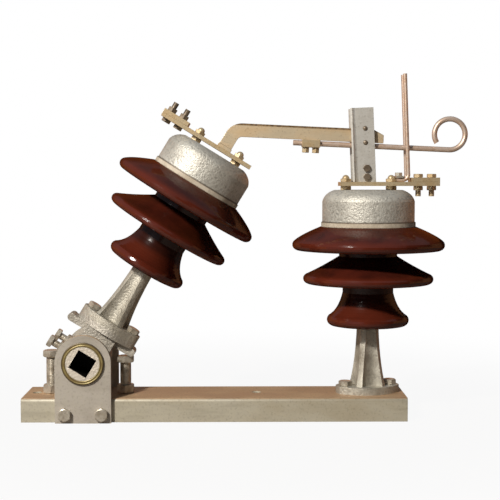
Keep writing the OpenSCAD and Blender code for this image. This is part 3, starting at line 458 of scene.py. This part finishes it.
def dress():
    """Gives each solid its finish."""
    plate = galvanised_steel("galvanised_plate", tone(188, 180, 168), tone(152, 143, 130),
                             tone(160, 150, 132), 0.1)
    channel = galvanised_steel("galvanised_channel", tone(194, 187, 166), tone(174, 162, 136),
                               tone(180, 148, 115), 0.3)
    brass = worn_metal("yellow_brass", tone(208, 189, 154), tone(180, 156, 117), tone(100, 74, 44),
                       0.45, 0.3, 0.5, 0.4)
    zinc = worn_metal("zinc_bolts", tone(206, 199, 184), tone(160, 149, 131), tone(88, 74, 56),
                      0.5, 0.3, 0.46, 0.45)
    rods = worn_metal("copper_alloy_rod", tone(220, 199, 182), tone(196, 168, 145), tone(132, 98, 76),
                      0.45, 0.3, 0.45, 0.2)
    jaw = worn_metal("tinned_jaw", tone(214, 211, 203), tone(190, 186, 177), tone(116, 110, 100),
                     0.35, 0.34, 0.5, 0.4)
    steel = worn_metal("tarnished_bolts", tone(132, 118, 100), tone(98, 84, 68), tone(64, 44, 30),
                       0.4, 0.36, 0.55, 0.5)
    bush = bush_metal()
    paint(channel, "base_channel")
    paint(plate, "front_bearing_plate", "back_bearing_plate")
    paint(weathered_shaded_pedestal(), "fixed_pedestal", "moving_pedestal")
    paint(cast_cap("cast_cap_fixed", FIXED_RING, 0.0), "fixed_cap")
    paint(cast_cap("cast_cap_moving", MOVING_RING, LEAN), "moving_cap")
    paint(tilting_casting(), "tilt_bracket")
    paint(cement("cement_fixed", FIXED_RING, 0.0), "fixed_cement_ring")
    paint(cement("cement_moving", MOVING_RING, LEAN), "moving_cement_ring")
    paint(bush, "front_bearing_bush", "back_bearing_bush")
    paint(zinc, "bearing_plate_bolts", "closed_stop_bolt", "open_stop_bolt", "shaft_set_screws",
          "fixed_pedestal_bolts", "moving_pedestal_bolts", "horn_plate")
    paint(brass, "fixed_terminal_bar", "fixed_terminal_studs", "fixed_terminal_clamp", "fixed_clamp_bolts",
          "moving_terminal_bar", "moving_terminal_studs", "moving_terminal_clamp",
          "rod_clamp", "rod_clamp_screws", "front_contact_strip", "back_contact_strip")
    paint(blade_brass(), "contact_blade")
    paint(steel, "moving_clamp_bolts", "jaw_bolts")
    paint(rods, "moving_arcing_rod", "fixed_arcing_horns")
    paint(jaw, "front_jaw_plate", "back_jaw_plate", "jaw_block")
    paint(brown_porcelain("brown_porcelain_fixed", FIXED_RING, 0.0,
                          insulator_rims("fixed_insulator", FIXED_RING, UPRIGHT)), "fixed_insulator")
    paint(brown_porcelain("brown_porcelain_moving", MOVING_RING, LEAN,
                          insulator_rims("moving_insulator", MOVING_RING, LEANING)), "moving_insulator")
    # Keeps highlights smooth where the rims' facets turn from the light
    rim_offset = 0.3
    for node in ("fixed_insulator", "moving_insulator"):
        nodes[node].shadow_terminator_geometry_offset = rim_offset
        nodes[node].shadow_terminator_shading_offset = rim_offset
    soften(0.0010, "base_channel", "front_bearing_plate", "back_bearing_plate")
    soften(0.0020, "contact_blade")
    soften(0.0006, "fixed_terminal_bar", "moving_terminal_bar", "fixed_terminal_clamp",
           "moving_terminal_clamp", "front_jaw_plate", "back_jaw_plate", "rod_clamp")
    return zinc, brass, steel


def bare_shaft(points, axis):
    """The last stretch along axis where a bolt shows only its shaft: its start, length and radius."""
    heart = sum(points, Vector()) / len(points)
    levels = {}
    for point in points:
        height = (point - heart).dot(axis)
        levels.setdefault(round(height, 5), []).append((point - heart - axis * height).length)
    radius = min(max(radii) for radii in levels.values())
    round_levels = sorted(level for level, radii in levels.items()
                          if sum(abs(part - radius) < 5 * MERGE for part in radii) > 6)
    order = sorted(levels)
    stretches = [(low, high) for low, high in zip(order, order[1:])
                 if low in round_levels and high in round_levels]
    low, high = stretches[-1]
    return heart + axis * low, high - low, radius


def new_piece(name, corners, faces, material, body):
    mesh = bpy.data.meshes.new(name)
    mesh.from_pydata(corners, [], faces)
    mesh.materials.append(material)
    mesh.polygons.foreach_set("use_smooth", [True] * len(mesh.polygons))
    piece = bpy.data.objects.new(name, mesh)
    bpy.context.scene.collection.objects.link(piece)
    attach(piece, body)
    return piece


def thread(name, start, axis, length, radius, material, body):
    """One ridge wound round a bare shaft, with a coarse thread's pitch for its size."""
    steps = 20
    pitch = 0.0004 + 0.2 * radius
    depth = 0.3 * pitch
    turns = int(length / pitch) - 1
    aside = axis.orthogonal().normalized()
    ahead = axis.cross(aside)
    corners = []
    faces = []
    count = turns * steps
    for step in range(count + 1):
        angle = 2 * math.pi * step / steps
        out = aside * math.cos(angle) + ahead * math.sin(angle)
        rise = pitch * (1 + step / steps)
        crest = depth * min(1.0, step / steps, (count - step) / steps)
        for along, height in ((-0.4, -0.0001), (0.0, crest), (0.4, -0.0001)):
            corners.append(start + axis * (rise + along * pitch) + out * (radius + height))
    for step in range(count):
        here = 3 * step
        for low, high in ((0, 1), (1, 2), (2, 0)):
            faces.append((here + low, here + high, here + 3 + high, here + 3 + low))
    faces.append((2, 1, 0))
    faces.append((3 * count, 3 * count + 1, 3 * count + 2))
    new_piece(name, corners, faces, material, body)


def wind(node, axis, material, body):
    for number, points in enumerate(solids_of(node), 1):
        side = axis(points) if callable(axis) else axis
        start, length, radius = bare_shaft(points, side)
        thread(f"{node}_thread_{number}", start, side, length, radius, material, body)


def threads(zinc, brass, steel):
    """Threads on the bolts' free ends and on the shafts between lock nut and head."""
    def inwards(points):
        return Vector((0.0, -math.copysign(1.0, points[0].y), 0.0))
    wind("fixed_clamp_bolts", -UPRIGHT, brass, BASE)
    wind("moving_clamp_bolts", LEANING, steel, TILTING)
    wind("closed_stop_bolt", UPRIGHT, zinc, BASE)
    wind("open_stop_bolt", UPRIGHT, zinc, BASE)
    wind("shaft_set_screws", ACROSS_LEANING, zinc, TILTING)
    wind("bearing_plate_bolts", inwards, zinc, BASE)


def rivets(material):
    """Two rivets through the front jaw plate, which hold the contact strip behind it."""
    radius = 0.0036
    dome = 0.0022
    plate_thickness = 0.003
    spacing = 0.021
    offset = 0.0045
    jaw_slope = 0.035
    rings = 6
    sides = 28
    strip_low, strip_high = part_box("front_contact_strip")
    face = strip_low.y - plate_thickness
    heart = (strip_low + strip_high) / 2
    for number, rise in enumerate((-spacing / 2, spacing / 2), 1):
        seat = Vector((heart.x + offset - jaw_slope * rise, face, heart.z + rise))
        corners = [seat + Vector((0.0, -dome, 0.0))]
        for ring in range(1, rings + 1):
            lean = math.pi / 2 * ring / rings
            for side in range(sides):
                angle = 2 * math.pi * side / sides
                out = Vector((math.cos(angle), 0.0, math.sin(angle))) * radius * math.sin(lean)
                corners.append(seat + out + Vector((0.0, -dome * math.cos(lean), 0.0)))
        faces = [(0, 1 + (side + 1) % sides, 1 + side) for side in range(sides)]
        for ring in range(rings - 1):
            for side in range(sides):
                here = 1 + ring * sides
                after = (side + 1) % sides
                faces.append((here + side, here + after, here + sides + after, here + sides + side))
        last = 1 + (rings - 1) * sides
        faces.append(tuple(range(last, last + sides)))
        new_piece(f"front_jaw_rivet_{number}", corners, faces, material, BASE)


def stage_piece(name, corners, faces, material):
    mesh = bpy.data.meshes.new(name)
    mesh.from_pydata(corners, [], faces)
    mesh.materials.append(material)
    piece = bpy.data.objects.new(name, mesh)
    bpy.context.scene.collection.objects.link(piece)
    return piece


def floor():
    """Pale floor that keeps the object's shadow and runs out into the white round it."""
    reach = 6.0
    surface = Surface("pale_floor")
    clouds = surface.noise(0.4, detail=2.0)
    surface.colour(surface.mix(clouds, (0.36, 0.32, 0.28, 1.0), (0.32, 0.28, 0.24, 1.0)))
    surface.set(Roughness=0.9)
    axes = surface.axes(surface.place)
    whitened = surface.fade(surface.length(axes["X"], axes["Y"]), 0.3, 1.1, 0.93, 1.0)
    white = surface.add("ShaderNodeEmission")
    seen = surface.add("ShaderNodeLightPath")
    blend = surface.add("ShaderNodeMixShader")
    surface.link(surface.math("MULTIPLY", seen.outputs["Is Camera Ray"], whitened), blend.inputs["Fac"])
    surface.link(surface.shader.outputs["BSDF"], blend.inputs[1])
    surface.link(white.outputs["Emission"], blend.inputs[2])
    output = surface.tree.nodes["Material Output"]
    surface.link(blend.outputs["Shader"], output.inputs["Surface"])
    corners = [(-reach, -reach, 0.0), (reach, -reach, 0.0), (reach, reach, 0.0), (-reach, reach, 0.0)]
    stage_piece("floor", corners, [(0, 1, 2, 3)], surface.material)


def studio_cloth(name, reach, low, high, sides, start, end, material):
    """An upright band round the object, from one turn to another, that the camera doesn't see."""
    corners = []
    for side in range(sides + 1):
        angle = start + (end - start) * side / sides
        for level in (low, high):
            corners.append((reach * math.sin(angle), -reach * math.cos(angle), level))
    faces = [(2 * side, 2 * side + 2, 2 * side + 3, 2 * side + 1) for side in range(sides)]
    cloth = stage_piece(name, corners, faces, material)
    cloth.visible_camera = False
    cloth.visible_shadow = False
    return cloth


def dark_flag():
    """Dark cloth round the right, as a studio has it: metal and glaze mirror it."""
    surface = Surface("dark_cloth")
    weave = surface.noise(0.05)
    surface.colour(surface.mix(weave, (0.055, 0.045, 0.04, 1.0), (0.08, 0.065, 0.055, 1.0)))
    surface.set(Roughness=1.0)
    surface.shader.inputs["Specular IOR Level"].default_value = 0.0
    studio_cloth("dark_flag", 3.2, 0.02, 2.4, 24, math.radians(-12.0), math.radians(165.0), surface.material)


def warm_card():
    """Brown card round the back that glows on its own, for the flanks of the glaze and the metal's far edges
    to mirror: a painted reflection.
    """
    surface = Surface("glowing_brown_card")
    clouds = surface.noise(0.6)
    glow = surface.mix(clouds, (1.0, 0.45, 0.20, 1.0), (0.85, 0.36, 0.15, 1.0))
    surface.colour(glow)
    # Painted reflection: the card glows by its own emission, and only glossy rays see it
    surface.link(glow, surface.shader.inputs["Emission Color"])
    surface.set(Roughness=1.0, Emission_Strength=0.2)
    card = studio_cloth("glowing_brown_card", 2.9, 0.0, 1.3, 32, math.radians(70.0), math.radians(290.0),
                        surface.material)
    card.visible_diffuse = False


def sky(strength):
    """Even studio: white where the camera sees it, softer where it lights."""
    world = bpy.data.worlds.new("studio")
    bpy.context.scene.world = world
    world.use_nodes = True
    tree = world.node_tree
    shown = tree.nodes["Background"]
    shown.inputs["Color"].default_value = (1.0, 1.0, 1.0, 1.0)
    lighting = tree.nodes.new("ShaderNodeBackground")
    lighting.inputs["Color"].default_value = (0.78, 0.86, 1.0, 1.0)
    lighting.inputs["Strength"].default_value = strength
    path = tree.nodes.new("ShaderNodeLightPath")
    blend = tree.nodes.new("ShaderNodeMixShader")
    tree.links.new(path.outputs["Is Camera Ray"], blend.inputs["Fac"])
    tree.links.new(lighting.outputs["Background"], blend.inputs[1])
    tree.links.new(shown.outputs["Background"], blend.inputs[2])
    tree.links.new(blend.outputs["Shader"], tree.nodes["World Output"].inputs["Surface"])


def aimed(thing, place, target):
    thing.location = place
    thing.rotation_euler = (target - place).to_track_quat("-Z", "Y").to_euler()


def lamp(name, turn, rise, distance, size, watts, colour, mirrored_only=False):
    """A round lamp aimed at the object, turned from the front to the right and raised by these angles."""
    heart = (cad_box[0] + cad_box[1]) / 2
    flat = distance * math.cos(rise)
    place = heart + Vector((flat * math.sin(turn), -flat * math.cos(turn), distance * math.sin(rise)))
    data = bpy.data.lights.new(name, "AREA")
    data.shape = "DISK"
    data.size = size
    data.energy = watts
    data.color = colour
    light = bpy.data.objects.new(name, data)
    light.visible_diffuse = not mirrored_only
    bpy.context.scene.collection.objects.link(light)
    aimed(light, place, heart)


def studio():
    sky(0.25)
    lamp("key", math.radians(-34.0), math.radians(33.0), 2.9, 0.24, 82.0, (1.0, 0.95, 0.88))
    lamp("softbox", math.radians(-32.0), math.radians(31.0), 2.7, 0.7, 45.0, (1.0, 0.98, 0.95), True)
    floor()
    dark_flag()
    warm_card()


def camera():
    data = bpy.data.cameras.new("camera")
    data.angle = FIELD_OF_VIEW
    eye = bpy.data.objects.new("camera", data)
    bpy.context.scene.collection.objects.link(eye)
    aimed(eye, EYE, AIM)
    bpy.context.scene.camera = eye


zinc_finish, brass_finish, steel_finish = dress()
threads(zinc_finish, brass_finish, steel_finish)
rivets(steel_finish)
studio()
camera()
bpy.context.scene.view_settings.view_transform = "Standard"
bpy.context.view_layer.update()
